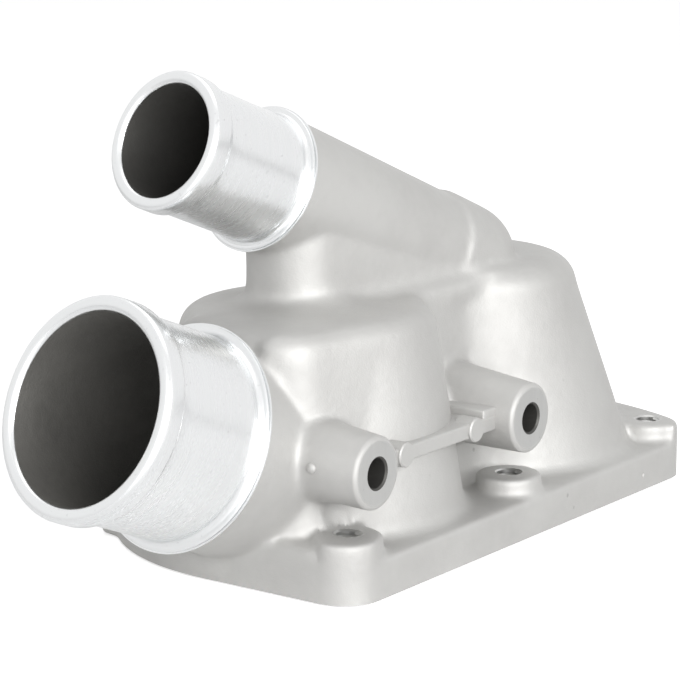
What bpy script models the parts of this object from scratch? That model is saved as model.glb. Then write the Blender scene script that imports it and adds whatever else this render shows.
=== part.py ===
"""Die-cast coolant housing with two hose spigots, modelled as one casting.

Metres, +Z up. The machined flange face lies at z = 0 and the origin is on the
land between the two chambers. +X runs along the long side of the flange, the
spigots point to -X and the side bosses face -Y.
"""
import math

import bmesh
import bpy
from mathutils import Matrix, Vector

MM = 0.001

# Flange
FLANGE_HEIGHT = 9.2 * MM
FLANGE_WIDTH = 85.0 * MM
FLANGE_LEFT = 72.0 * MM           # origin to the straight left end
FLANGE_RIGHT = 82.0 * MM          # origin to the crown of the right end
FLANGE_CORNER = 9.0 * MM
FLANGE_END_RADIUS = 90.0 * MM     # crowned right end
FLANGE_FAR_RADIUS = 54.0 * MM     # rounding of the far left side
FLANGE_EDGE_ROUND = 1.2 * MM

# Fixing holes and their raised pads
HOLE_PITCH = 65.0 * MM
HOLE_MIDDLE_X = 3.4 * MM
HOLE_INSET = 9.0 * MM             # hole centre to the long edge
HOLE_RADIUS = 2.75 * MM
HOLE_FAR_SHIFT = 11.5 * MM        # the far left hole sits further in
PAD_HEIGHT = 13.7 * MM
PAD_RADIUS = 7.9 * MM
PAD_ROUND = 1.2 * MM
CORNER_REACH = 13.5 * MM          # a pad takes in the flange edge this near its hole
RIDGE_HEIGHT = 12.4 * MM          # low ridge from the near left pad along the left end
RIDGE_REACH = 26.0 * MM
RIDGE_WIDTH = 12.0 * MM

# Left lobe
LEFT_X = -33.0 * MM
LEFT_Y = -1.2 * MM
LEFT_FOOT_RADIUS = 36.2 * MM
LEFT_DRAFT = 9.0                  # degrees
LEFT_ROUND = 5.0 * MM
LEFT_BORE_RADIUS = 30.4 * MM
LEFT_BORE_DRAFT = 3.0

# Square shoulder of the left lobe, where the large neck joins it
SHOULDER_END = 69.5 * MM          # origin to its left face
SHOULDER_NEAR = 24.5 * MM
SHOULDER_FAR = 17.0 * MM
SHOULDER_CORNER = 7.0 * MM
SHOULDER_DRAFT = 3.0
SHOULDER_DROP = 0.3 * MM          # below the roof of the lobe

# Right lobe
RIGHT_X = 33.5 * MM
RIGHT_TOP = 58.5 * MM
RIGHT_FOOT_RADIUS = 37.7 * MM
RIGHT_DRAFT = 14.6
RIGHT_LEAN = 7.5                  # the axis leans, so the far end slopes more
RIGHT_ROUND = 7.0 * MM
RIGHT_BORE_RADIUS = 28.0 * MM
RIGHT_BORE_DRAFT = 7.0
SEAT_RADIUS = 31.0 * MM
SEAT_DEPTH = 3.4 * MM

# Both lobes
LEFT_TOP = 57.0 * MM
ROOF = 5.0 * MM
CHAMBER_ROUND = 4.0 * MM
FOOT_FILLET = 3.0 * MM
FILLET_SINK = 0.5 * MM            # foot fillet of the shoulder, which the neck hides

# Saddle between the lobes, blended into the right one
SADDLE_TOP = 57.3 * MM
SADDLE_LEFT = 16.0 * MM           # origin to its end inside the left lobe
SADDLE_CLEARANCE = 2.8 * MM       # edge of the middle pads to its wall
SADDLE_BLEND = 12.0 * MM          # fillet into the right lobe
BLEND_SINK = 0.2 * MM             # how far the fillet runs into the lobe's wall

# Spigot directions: turned in plan and rising towards the mouth
SPIGOT_TURN = 7.0
SPIGOT_RISE = 22.3

# Large spigot
LARGE_BORE = 21.5 * MM
LARGE_WALL = 2.1 * MM
LARGE_BEAD = 1.5 * MM             # bead height over the barrel
LARGE_RING = 2.4 * MM             # base ring height over the barrel
LARGE_LENGTH = 32.0 * MM          # mouth to the back of the ring
LARGE_ROOT = Vector((-60.0, -3.2, 26.2)) * MM
LARGE_REACH = 52.2 * MM           # root point to the mouth
LARGE_NECK = 23.4 * MM
LARGE_NECK_FLARE = 0.6 * MM
LARGE_INSIDE = 8.0 * MM           # how far the neck runs on inside the lobe
LARGE_BORE_INSIDE = 14.0 * MM     # how far the bore runs on into the chamber
LARGE_BORE_TAPER = 0.6 * MM

# Small spigot and its cast pipe
SMALL_BORE = 13.0 * MM
SMALL_WALL = 2.1 * MM
SMALL_BEAD = 0.95 * MM
SMALL_RING = 2.1 * MM
SMALL_LENGTH = 33.0 * MM
ELBOW = Vector((25.8, -3.2, 58.2)) * MM
SMALL_REACH = 107.2 * MM          # elbow centre to the mouth
PIPE_RADIUS = 16.0 * MM
PIPE_DRAFT = 1.9
PIPE_WALL = 3.2 * MM
ELBOW_STEP = 0.7 * MM
ELBOW_LENGTH = 12.5 * MM
ELBOW_STEP_RUN = 1.0 * MM
THROAT_RADIUS = 9.5 * MM

# Turned ends, the same on both spigots
MOUTH_INSET = 1.2 * MM            # mouth to where the bore is cylindrical
LIP_FLATNESS = 0.55               # the lip is a flattened half round
BEAD_FRONT = 0.6 * MM             # cylindrical part of the bead, from the lip
BEAD_BACK = 4.9 * MM
BEAD_RAMP = 1.5 * MM
RING_WIDTH = 1.6 * MM
RING_EDGE = 0.2 * MM
RELIEF_WIDTH = 1.4 * MM           # groove behind the ring
RELIEF_DEPTH = 0.5 * MM

# Web that carries the pipe
WEB_NEAR = 13.5 * MM              # pipe axis to the near side
WEB_FAR = 10.0 * MM
WEB_FRONT = -41.0 * MM
WEB_CORNER = 4.5 * MM
WEB_FILLET = 4.2 * MM
WEB_SINK = 4.0 * MM               # how deep its foot reaches into the roof
WEB_STOCK = 40.0 * MM             # height before it is trimmed under the pipe

# Side bosses with blind holes
BOSS_SPACING = 62.0 * MM
BOSS_MIDDLE_X = -29.9 * MM
BOSS_HEIGHT = 28.3 * MM
BOSS_FACE_INSET = 1.5 * MM        # face to the long edge of the flange
BOSS_RADIUS = 8.4 * MM
BOSS_DRAFT = 3.4                  # the underside stays level
BOSS_LENGTH = 27.0 * MM
BOSS_ROUND = 1.1 * MM
BOSS_HOLE_RADIUS = 3.4 * MM
BOSS_HOLE_DEPTH = 18.0 * MM
DRILL_TIP = 0.58                  # height of the drill's cone over its radius

# Rib between the bosses
RIB_THICKNESS = 3.4 * MM
RIB_INSET = 6.0 * MM              # rib face to the long edge of the flange
RIB_DEPTH = 18.0 * MM
PIN_PAD_RADIUS = 2.9 * MM
PIN_PAD_STEP = 0.5 * MM
PIN_PAD_DEPTH = 4.0 * MM
PIN_PAD_OFFSET = 16.9 * MM        # from each boss axis along the rib
STAY_WIDTH = 2.4 * MM
STAY_RISE = 1.8 * MM
STAY_INSET = 0.4 * MM

# Overrun of cutters past the faces that they cut
OVERRUN = 2.0 * MM
WELD_DISTANCE = 0.02 * MM

# Segments of round shapes
SEGMENTS_LOBE = 52
SEGMENTS_BORE = 44
SEGMENTS_PIPE = 36
SEGMENTS_BOSS = 28
SEGMENTS_HOLE = 20


def clear_scene():
    """Remove every object that the scene starts with."""
    for obj in list(bpy.data.objects):
        bpy.data.objects.remove(obj, do_unlink=True)


def cast_aluminium():
    """Matt grey skin of a die casting."""
    mat = bpy.data.materials.new("cast_aluminium")
    mat.use_nodes = True
    shader = mat.node_tree.nodes["Principled BSDF"]
    shader.inputs["Base Color"].default_value = (0.56, 0.55, 0.53, 1.0)
    shader.inputs["Roughness"].default_value = 0.55
    shader.inputs["Metallic"].default_value = 0.85
    return mat


def to_object(name, bm):
    """Turn a bmesh into an object of the scene with its faces outward."""
    bmesh.ops.remove_doubles(bm, verts=bm.verts, dist=1e-6)
    bmesh.ops.recalc_face_normals(bm, faces=bm.faces)
    mesh = bpy.data.meshes.new(name)
    bm.to_mesh(mesh)
    bm.free()
    obj = bpy.data.objects.new(name, mesh)
    bpy.context.scene.collection.objects.link(obj)
    return obj


def arc(cx, cy, radius, start, end, steps):
    """Points on an arc, angles in degrees."""
    angles = [math.radians(start + (end - start) * i / steps) for i in range(steps + 1)]
    return [(cx + radius * math.cos(a), cy + radius * math.sin(a)) for a in angles]


def spigot_axis():
    """Unit vector from the casting out through the mouths."""
    turn = math.radians(SPIGOT_TURN)
    rise = math.radians(SPIGOT_RISE)
    return Vector((-math.cos(rise) * math.cos(turn), math.cos(rise) * math.sin(turn), math.sin(rise)))


def turned(name, profile, base, axis, steps):
    """Solid of revolution: profile of (radius, height) from base along axis."""
    bm = bmesh.new()
    verts = [bm.verts.new((radius, 0.0, height)) for radius, height in profile]
    edges = [bm.edges.new(pair) for pair in zip(verts[:-1], verts[1:])]
    bmesh.ops.spin(bm, geom=verts + edges, cent=(0, 0, 0), axis=(0, 0, 1),
                   angle=math.tau, steps=steps, use_merge=True)
    turn = Vector((0, 0, 1)).rotation_difference(axis).to_matrix().to_4x4()
    bmesh.ops.transform(bm, matrix=Matrix.Translation(base) @ turn, verts=bm.verts)
    return to_object(name, bm)


def extruded(name, outline, bottom, top, edge_round=0.0, segments=3):
    """Plate with the given outline and a rounded upper edge."""
    bm = bmesh.new()
    face = bm.faces.new([bm.verts.new((x, y, bottom)) for x, y in outline])
    grown = bmesh.ops.extrude_face_region(bm, geom=[face])
    moved = [item for item in grown["geom"] if isinstance(item, bmesh.types.BMVert)]
    bmesh.ops.translate(bm, vec=(0, 0, top - bottom), verts=moved)
    if edge_round:
        rim = [e for e in bm.edges if all(abs(v.co.z - top) < 1e-7 for v in e.verts)]
        bmesh.ops.bevel(bm, geom=rim, offset=edge_round, segments=segments, profile=0.5,
                        affect="EDGES", material=-1)
    return to_object(name, bm)


def lofted(name, rings):
    """Closed solid through rings that have the same number of points."""
    bm = bmesh.new()
    loops = []
    for ring in rings:
        verts = [bm.verts.new(point) for point in ring]
        loops.append([bm.edges.new((verts[i - 1], verts[i])) for i in range(len(verts))])
    for low, high in zip(loops[:-1], loops[1:]):
        bmesh.ops.bridge_loops(bm, edges=low + high)
    bmesh.ops.holes_fill(bm, edges=loops[0])
    bmesh.ops.holes_fill(bm, edges=loops[-1])
    return to_object(name, bm)


def helper(obj):
    """Mark a shape that only adds to or cuts the casting."""
    obj.hide_render = True
    obj.display_type = "WIRE"
    return obj


def combine(body, tools, operation):
    """Add a live Boolean for each tool."""
    for tool in tools:
        helper(tool)
        mod = body.modifiers.new(tool.name, "BOOLEAN")
        mod.operation = operation
        mod.solver = "EXACT"
        mod.object = tool


def hole_places():
    """Plan places of the fixing holes: three near, three far."""
    near_y = -FLANGE_WIDTH / 2 + HOLE_INSET
    places = [(HOLE_MIDDLE_X + HOLE_PITCH * k, near_y) for k in (-1, 0, 1)]
    far = [(x, -near_y) for x, _ in places]
    far[0] = (far[0][0] + HOLE_FAR_SHIFT, far[0][1])
    return places + far


def flange_outline():
    """Near corners square with small rounds, far left side swept round."""
    half = FLANGE_WIDTH / 2
    c = FLANGE_CORNER
    left = -FLANGE_LEFT
    end_x = FLANGE_RIGHT - FLANGE_END_RADIUS
    corner_y = half - c
    corner_x = end_x + math.sqrt((FLANGE_END_RADIUS - c) ** 2 - corner_y ** 2)
    lean = math.degrees(math.atan2(corner_y, corner_x - end_x))
    points = arc(left + c, -half + c, c, 180, 270, 8)
    points += arc(corner_x, -corner_y, c, 270, 360 - lean, 7)
    points += arc(end_x, 0, FLANGE_END_RADIUS, -lean, lean, 10)[1:-1]
    points += arc(corner_x, corner_y, c, lean, 90, 7)
    far_x = left + FLANGE_FAR_RADIUS
    sweep_x = far_x - math.sqrt((FLANGE_FAR_RADIUS - c) ** 2 - corner_y ** 2)
    sweep = math.degrees(math.atan2(corner_y, sweep_x - far_x))
    points += arc(sweep_x, corner_y, c, 90, sweep, 6)
    points += arc(far_x, 0, FLANGE_FAR_RADIUS, sweep, 180, 10)[1:]
    return points


def flange():
    """Machined plate that the casting is bolted down by."""
    return extruded("housing", flange_outline(), 0.0, FLANGE_HEIGHT, FLANGE_EDGE_ROUND, 2)


def pad_outline(x, y):
    """Circle about a hole, drawn out to the flange corner where one is near."""
    circle = arc(x, y, PAD_RADIUS, 0, 360, SEGMENTS_HOLE)[:-1]
    corner = [(px, py) for px, py in flange_outline() if math.hypot(px - x, py - y) < CORNER_REACH]
    return convex_hull(circle + corner)


def convex_hull(points):
    """Outer outline of points, counter-clockwise."""
    points = sorted(set(points))
    hull = []
    for run in (points, points[::-1]):
        chain = []
        for p in run:
            while len(chain) > 1 and turn_of(chain[-2], chain[-1], p) <= 0:
                chain.pop()
            chain.append(p)
        hull += chain[:-1]
    return hull


def turn_of(a, b, c):
    """Positive where the path a, b, c turns left."""
    return (b[0] - a[0]) * (c[1] - a[1]) - (b[1] - a[1]) * (c[0] - a[0])


def pads():
    """Raised pads at the fixing holes; the right end is raised from pad to pad."""
    places = hole_places()
    outlines = [pad_outline(*places[k]) for k in (0, 1, 3, 4)]
    right_x = places[2][0]
    right_end = [(px, py) for px, py in flange_outline() if px > right_x]
    outlines.append(convex_hull(pad_outline(*places[2]) + pad_outline(*places[5]) + right_end))
    made = [extruded(f"pad_{index}", outline, FLANGE_HEIGHT / 2, PAD_HEIGHT, PAD_ROUND, 2)
            for index, outline in enumerate(outlines)]
    made.append(end_ridge(places[0][1]))
    return made


def end_ridge(y):
    """Low ridge that runs from the near left pad along the left end."""
    left = -FLANGE_LEFT
    inner = [(left + RIDGE_WIDTH, y), (left + RIDGE_WIDTH, y + RIDGE_REACH - RIDGE_WIDTH)]
    edge = [(left, y - HOLE_INSET + FLANGE_CORNER), (left, y + RIDGE_REACH)]
    outline = convex_hull(inner + edge)
    return extruded("end_ridge", outline, FLANGE_HEIGHT / 2, RIDGE_HEIGHT, 2 * PAD_ROUND, 3)


def wall_inset(z, draft, edge_round, top):
    """How far a cast wall lies inside its foot line at a height."""
    slope = math.tan(math.radians(draft))
    shoulder = top - edge_round
    low = FLANGE_HEIGHT + FOOT_FILLET
    if z < low:
        below = min(low - z, FOOT_FILLET)
        return math.sqrt(FOOT_FILLET ** 2 - below ** 2) - FOOT_FILLET
    if z < shoulder:
        return (z - low) * slope
    above = min(z - shoulder, edge_round)
    return (shoulder - low) * slope + edge_round - math.sqrt(edge_round ** 2 - above ** 2)


def wall_levels(draft, edge_round, top, fillet=FOOT_FILLET):
    """Heights of a cast wall with how far it lies inside its foot line."""
    slope = math.tan(math.radians(draft))
    low = FLANGE_HEIGHT + FOOT_FILLET
    levels = [(FLANGE_HEIGHT / 2, -fillet)]
    levels += [(low - dz, (dx - FOOT_FILLET) * fillet / FOOT_FILLET)
               for dx, dz in arc(0, 0, FOOT_FILLET, 75, 5, 3)]
    shoulder = top - edge_round
    inset = (shoulder - low) * slope
    levels += [(low + (shoulder - low) * 0.5, inset * 0.5)]
    levels += [(shoulder + dz, inset + edge_round - dx) for dx, dz in arc(0, 0, edge_round, 0, 90, 5)]
    return levels


def right_circle(z, inset):
    """Centre and radius of the leaning right lobe at a height."""
    lean = math.tan(math.radians(RIGHT_LEAN))
    return RIGHT_X + lean * (RIGHT_TOP - z), RIGHT_FOOT_RADIUS - inset


def left_lobe():
    """Drafted round wall and roof of the left lobe."""
    rings = [[(x, y, z) for x, y in arc(LEFT_X, LEFT_Y, LEFT_FOOT_RADIUS - inset, 0, 360, SEGMENTS_LOBE)[:-1]]
             for z, inset in wall_levels(LEFT_DRAFT, LEFT_ROUND, LEFT_TOP)]
    return lofted("left_lobe", rings)


def right_lobe():
    """Drafted round wall and roof of the right lobe, on a leaning axis."""
    rings = []
    for z, inset in wall_levels(RIGHT_DRAFT, RIGHT_ROUND, RIGHT_TOP):
        cx, radius = right_circle(z, inset)
        rings.append([(x, y, z) for x, y in arc(cx, 0, radius, 0, 360, SEGMENTS_LOBE)[:-1]])
    return lofted("right_lobe", rings)


def shoulder():
    """Square end of the left lobe, where the large neck joins it."""
    rings = []
    for z, inset in wall_levels(SHOULDER_DRAFT, LEFT_ROUND, LEFT_TOP - SHOULDER_DROP, FILLET_SINK):
        outline = rounded_rectangle(-SHOULDER_END + inset, LEFT_X, -SHOULDER_NEAR + inset,
                                    SHOULDER_FAR - inset, SHOULDER_CORNER, 4)
        rings.append([(x, y, z) for x, y in outline])
    return lofted("shoulder", rings)


def saddle_side(z, inset, half_width):
    """Half outline of the saddle at a height: its wall and the blend into the right lobe."""
    wall = half_width - inset
    lobe_inset = wall_inset(z, RIGHT_DRAFT, RIGHT_ROUND, RIGHT_TOP)
    cx, radius = right_circle(z, lobe_inset + BLEND_SINK)
    blend_x = cx - math.sqrt((radius + SADDLE_BLEND) ** 2 - (wall + SADDLE_BLEND) ** 2)
    end = math.degrees(math.atan2(-wall - SADDLE_BLEND, cx - blend_x))
    points = arc(blend_x, wall + SADDLE_BLEND, SADDLE_BLEND, 270, 360 + end, 5)
    inner_x = cx
    return [(-SADDLE_LEFT, wall)] + points + [(inner_x, wall)]


def saddle():
    """Bridge between the lobes that carries the web, with large fillets into the right lobe."""
    half_width = FLANGE_WIDTH / 2 - HOLE_INSET - PAD_RADIUS - SADDLE_CLEARANCE
    rings = []
    for z, inset in wall_levels(LEFT_DRAFT, LEFT_ROUND, SADDLE_TOP):
        half = saddle_side(z, inset, half_width)
        near = [(x, -y, z) for x, y in half]
        far = [(x, y, z) for x, y in half[::-1]]
        rings.append(near + far)
    return lofted("saddle", rings)


def spigot_profile(bore, wall, bead, ring, length, neck, inner):
    """Turned end from the mouth (height 0, going down) to inside the casting."""
    barrel = bore + wall
    crest = barrel + bead
    lip = (crest - bore) / 2
    depth = lip * LIP_FLATNESS
    points = [(0, -MOUTH_INSET), (bore, -MOUTH_INSET)]
    points += [(bore + lip + dx, dz * LIP_FLATNESS - depth) for dx, dz in arc(0, 0, lip, 165, 20, 5)]
    points += [(crest, -depth - BEAD_FRONT), (crest, -BEAD_BACK)]
    points += [(crest - bead * 0.35, -BEAD_BACK - BEAD_RAMP / 2), (barrel, -BEAD_BACK - BEAD_RAMP)]
    front = length - RING_WIDTH
    points += [(barrel + ring - dx, -front + ring - dz) for dx, dz in arc(0, 0, ring, 0, 78, 3)]
    points += [(barrel + ring, -front), (barrel + ring, -length + RING_EDGE)]
    points += [(barrel + ring - RING_EDGE, -length), (neck, -length)]
    points += [(neck - RELIEF_DEPTH, -length - RELIEF_WIDTH / 4),
               (neck - RELIEF_DEPTH, -length - RELIEF_WIDTH * 3 / 4)]
    points += [(neck, -length - RELIEF_WIDTH)]
    return points + inner


def large_spigot():
    """Large hose end with its neck into the left lobe."""
    axis = spigot_axis()
    wide = LARGE_NECK + LARGE_NECK_FLARE
    end = LARGE_REACH + LARGE_INSIDE
    inner = [(wide, -LARGE_REACH), (wide, -end), (0, -end)]
    profile = spigot_profile(LARGE_BORE, LARGE_WALL, LARGE_BEAD, LARGE_RING, LARGE_LENGTH, LARGE_NECK, inner)
    return turned("large_spigot", profile[::-1], LARGE_ROOT + axis * LARGE_REACH, axis, SEGMENTS_LOBE)


def pipe_radius_at(depth):
    """Radius of the cast pipe at a depth below the mouth."""
    return PIPE_RADIUS - (depth - SMALL_LENGTH) * math.tan(math.radians(PIPE_DRAFT))


def small_spigot():
    """Small hose end and the cast pipe down to its elbow."""
    axis = spigot_axis()
    step = SMALL_REACH - ELBOW_LENGTH
    elbow_radius = pipe_radius_at(SMALL_REACH) + ELBOW_STEP
    before = step - ELBOW_STEP_RUN
    inner = [(pipe_radius_at(before), -before), (pipe_radius_at(step) + ELBOW_STEP, -step)]
    inner += [(dx, -SMALL_REACH - dz) for dx, dz in arc(0, 0, elbow_radius, 0, 90, 5)]
    profile = spigot_profile(SMALL_BORE, SMALL_WALL, SMALL_BEAD, SMALL_RING, SMALL_LENGTH, PIPE_RADIUS, inner)
    return turned("small_spigot", profile[::-1], ELBOW + axis * SMALL_REACH, axis, SEGMENTS_PIPE)


def elbow():
    """Round foot that carries the end of the pipe down into the right lobe."""
    radius = pipe_radius_at(SMALL_REACH) + ELBOW_STEP
    wide = radius + WEB_FILLET
    roof = RIGHT_TOP - ELBOW.z
    profile = [(0, roof - ROOF), (wide, roof - ROOF), (wide, roof)]
    profile += [(wide - dx, roof + WEB_FILLET - dz) for dx, dz in arc(0, 0, WEB_FILLET, 80, 10, 3)]
    profile += [(radius, roof + WEB_FILLET), (0, roof + WEB_FILLET)]
    return turned("elbow", profile, ELBOW, Vector((0, 0, 1)), SEGMENTS_BOSS)


def rounded_rectangle(x0, x1, y0, y1, corner, steps):
    """Outline with round corners, counter-clockwise."""
    points = arc(x1 - corner, y1 - corner, corner, 0, 90, steps)
    points += arc(x0 + corner, y1 - corner, corner, 90, 180, steps)
    points += arc(x0 + corner, y0 + corner, corner, 180, 270, steps)
    points += arc(x1 - corner, y0 + corner, corner, 270, 360, steps)
    return points


def web():
    """Upright block under the pipe, with a fillet where it meets the roof."""
    axis = spigot_axis()
    heading = math.atan2(-axis.y, -axis.x)
    turn = Matrix.Rotation(heading, 4, "Z")
    rings = []
    levels = [(LEFT_TOP - WEB_SINK, WEB_FILLET)]
    levels += [(LEFT_TOP + WEB_FILLET - dz, WEB_FILLET - dx)
               for dx, dz in arc(0, 0, WEB_FILLET, 78, 4, 4)]
    levels += [(LEFT_TOP + WEB_STOCK, 0.0)]
    front = WEB_FRONT - ELBOW.x
    for level, spread in levels:
        outline = rounded_rectangle(front - spread, 0.0, -WEB_NEAR - spread, WEB_FAR + spread,
                                    WEB_CORNER + spread, 4)
        rings.append([turn @ Vector((x, y, level - ELBOW.z)) + ELBOW for x, y in outline])
    block = lofted("web", rings)
    trim_above_pipe(block, axis)
    return block


def trim_above_pipe(obj, axis):
    """Cut the block along a plane just under the pipe's axis."""
    bm = bmesh.new()
    bm.from_mesh(obj.data)
    side = axis.cross(Vector((0, 0, 1))).normalized()
    normal = side.cross(axis).normalized()
    geometry = bm.verts[:] + bm.edges[:] + bm.faces[:]
    cut = bmesh.ops.bisect_plane(bm, geom=geometry, plane_co=ELBOW - normal * MM, plane_no=normal,
                                 clear_outer=True)
    rim = [item for item in cut["geom_cut"] if isinstance(item, bmesh.types.BMEdge)]
    bmesh.ops.holes_fill(bm, edges=rim)
    bmesh.ops.recalc_face_normals(bm, faces=bm.faces)
    bm.to_mesh(obj.data)
    bm.free()


def boss_places():
    """Axis points of the two side bosses on their front faces."""
    y = -FLANGE_WIDTH / 2 + BOSS_FACE_INSET
    return [Vector((BOSS_MIDDLE_X + side * BOSS_SPACING / 2, y, BOSS_HEIGHT)) for side in (-1, 1)]


def bosses():
    """Round bosses that widen upwards to the root, level underneath."""
    made = []
    growth = BOSS_LENGTH * math.tan(math.radians(BOSS_DRAFT))
    stations = [(BOSS_ROUND - dz, BOSS_RADIUS - BOSS_ROUND + dx, 0.0)
                for dx, dz in arc(0, 0, BOSS_ROUND, 90, 0, 3)]
    stations += [(BOSS_LENGTH, BOSS_RADIUS + growth, growth)]
    for index, place in enumerate(boss_places()):
        rings = []
        for depth, radius, rise in stations:
            circle = arc(0, 0, radius, 0, 360, SEGMENTS_BOSS)[:-1]
            rings.append([place + Vector((x, depth, z + rise)) for x, z in circle])
        made.append(lofted(f"boss_{index}", rings))
    return made


def box(name, low, high):
    """Plain block between two corners."""
    bm = bmesh.new()
    bmesh.ops.create_cube(bm, size=1.0)
    size = [b - a for a, b in zip(low, high)]
    middle = [(a + b) / 2 for a, b in zip(low, high)]
    bmesh.ops.transform(bm, matrix=Matrix.Translation(middle) @ Matrix.Diagonal((*size, 1.0)), verts=bm.verts)
    return to_object(name, bm)


def rib():
    """Shelf between the bosses, its two pin pads and the short stay."""
    left, right = boss_places()
    face = -FLANGE_WIDTH / 2 + RIB_INSET
    back = face + RIB_DEPTH
    low = BOSS_HEIGHT - RIB_THICKNESS / 2
    high = BOSS_HEIGHT + RIB_THICKNESS / 2
    made = [box("rib", (left.x, face, low), (right.x, back, high))]
    profile = [(0, -PIN_PAD_STEP), (PIN_PAD_RADIUS, -PIN_PAD_STEP), (PIN_PAD_RADIUS, PIN_PAD_DEPTH),
               (0, PIN_PAD_DEPTH)]
    for index, x in enumerate((left.x + PIN_PAD_OFFSET, right.x - PIN_PAD_OFFSET)):
        place = Vector((x, face, BOSS_HEIGHT))
        made.append(turned(f"pin_pad_{index}", profile, place, Vector((0, 1, 0)), SEGMENTS_HOLE))
    stay_x = right.x - PIN_PAD_OFFSET
    made.append(box("stay", (stay_x - STAY_WIDTH / 2, face + STAY_INSET, low + STAY_INSET),
                    (stay_x + STAY_WIDTH / 2, back, high + STAY_RISE)))
    return made


def chamber_profile(mouth_radius, draft, top):
    """Inside of a lobe, open at the flange face."""
    slope = math.tan(math.radians(draft))
    shoulder = top - CHAMBER_ROUND
    rim = mouth_radius - shoulder * slope - CHAMBER_ROUND
    points = [(0, -OVERRUN), (mouth_radius + OVERRUN * slope, -OVERRUN)]
    points += [(rim + dx, shoulder + dz) for dx, dz in arc(0, 0, CHAMBER_ROUND, 0, 90, 4)]
    return points + [(0, top)]


def chambers():
    """Hollow under each lobe, and the seat that the right one is turned to."""
    up = Vector((0, 0, 1))
    left = turned("left_chamber", chamber_profile(LEFT_BORE_RADIUS, LEFT_BORE_DRAFT, LEFT_TOP - ROOF),
                  Vector((LEFT_X, 0, 0)), up, SEGMENTS_BORE)
    right = turned("right_chamber", chamber_profile(RIGHT_BORE_RADIUS, RIGHT_BORE_DRAFT, RIGHT_TOP - ROOF),
                   Vector((RIGHT_X, 0, 0)), up, SEGMENTS_BORE)
    profile = [(0, -OVERRUN), (SEAT_RADIUS, -OVERRUN), (SEAT_RADIUS, SEAT_DEPTH), (0, SEAT_DEPTH)]
    seat = turned("seat", profile, Vector((RIGHT_X, 0, 0)), up, SEGMENTS_BORE)
    return [left, right, seat]


def waterways():
    """Bores of the spigots and the throat from the pipe into the right lobe."""
    axis = spigot_axis()
    end = LARGE_REACH + LARGE_BORE_INSIDE
    profile = [(0, -end), (LARGE_BORE - LARGE_BORE_TAPER, -end), (LARGE_BORE, -MOUTH_INSET),
               (LARGE_BORE, OVERRUN), (0, OVERRUN)]
    large = turned("large_bore", profile, LARGE_ROOT + axis * LARGE_REACH, axis, SEGMENTS_LOBE)
    tip = pipe_radius_at(SMALL_REACH) - PIPE_WALL
    profile = [(0, -SMALL_REACH - tip)]
    profile += [(dx, -SMALL_REACH - dz) for dx, dz in arc(0, 0, tip, 80, 0, 5)]
    profile += [(SMALL_BORE, -MOUTH_INSET), (SMALL_BORE, OVERRUN), (0, OVERRUN)]
    small = turned("small_bore", profile, ELBOW + axis * SMALL_REACH, axis, SEGMENTS_PIPE)
    foot = RIGHT_TOP - ROOF - CHAMBER_ROUND - ELBOW.z
    profile = [(0, foot), (THROAT_RADIUS, foot), (THROAT_RADIUS, 0), (0, 0)]
    throat = turned("throat", profile, ELBOW, Vector((0, 0, 1)), SEGMENTS_BOSS)
    return [large, small, throat]


def drilled_holes():
    """Through holes of the flange and blind holes of the bosses."""
    made = []
    up = Vector((0, 0, 1))
    over = PAD_HEIGHT + OVERRUN
    profile = [(0, -OVERRUN), (HOLE_RADIUS, -OVERRUN), (HOLE_RADIUS, over), (0, over)]
    for index, (x, y) in enumerate(hole_places()):
        made.append(turned(f"fixing_hole_{index}", profile, Vector((x, y, 0)), up, SEGMENTS_HOLE))
    tip = BOSS_HOLE_DEPTH + BOSS_HOLE_RADIUS * DRILL_TIP
    profile = [(0, -OVERRUN), (BOSS_HOLE_RADIUS, -OVERRUN), (BOSS_HOLE_RADIUS, BOSS_HOLE_DEPTH), (0, tip)]
    for index, place in enumerate(boss_places()):
        made.append(turned(f"boss_hole_{index}", profile, place, Vector((0, 1, 0)), SEGMENTS_HOLE))
    return made


def build():
    """Assemble the casting and cut its hollows."""
    clear_scene()
    housing = flange()
    combine(housing, [left_lobe(), shoulder(), saddle(), right_lobe()], "UNION")
    combine(housing, pads(), "UNION")
    combine(housing, bosses(), "UNION")
    combine(housing, rib(), "UNION")
    combine(housing, [web(), elbow(), small_spigot(), large_spigot()], "UNION")
    combine(housing, chambers() + waterways() + drilled_holes(), "DIFFERENCE")
    weld = housing.modifiers.new("weld", "WELD")
    weld.merge_threshold = WELD_DISTANCE
    housing.data.materials.append(cast_aluminium())
    housing.data.shade_smooth()
    housing.data.set_sharp_from_angle(angle=math.radians(30))


build()
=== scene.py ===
"""Visual model of a die-cast coolant housing with two turned hose ends.

Metres, +Z up. The machined flange face lies at z = 0, +X runs along the long
side of the flange, the hose ends point to -X and the side bosses face -Y.
"""
import math

import bmesh
import bpy
from bpy.props import FloatProperty, FloatVectorProperty, IntProperty, PointerProperty
from mathutils import Matrix, Vector


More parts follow.
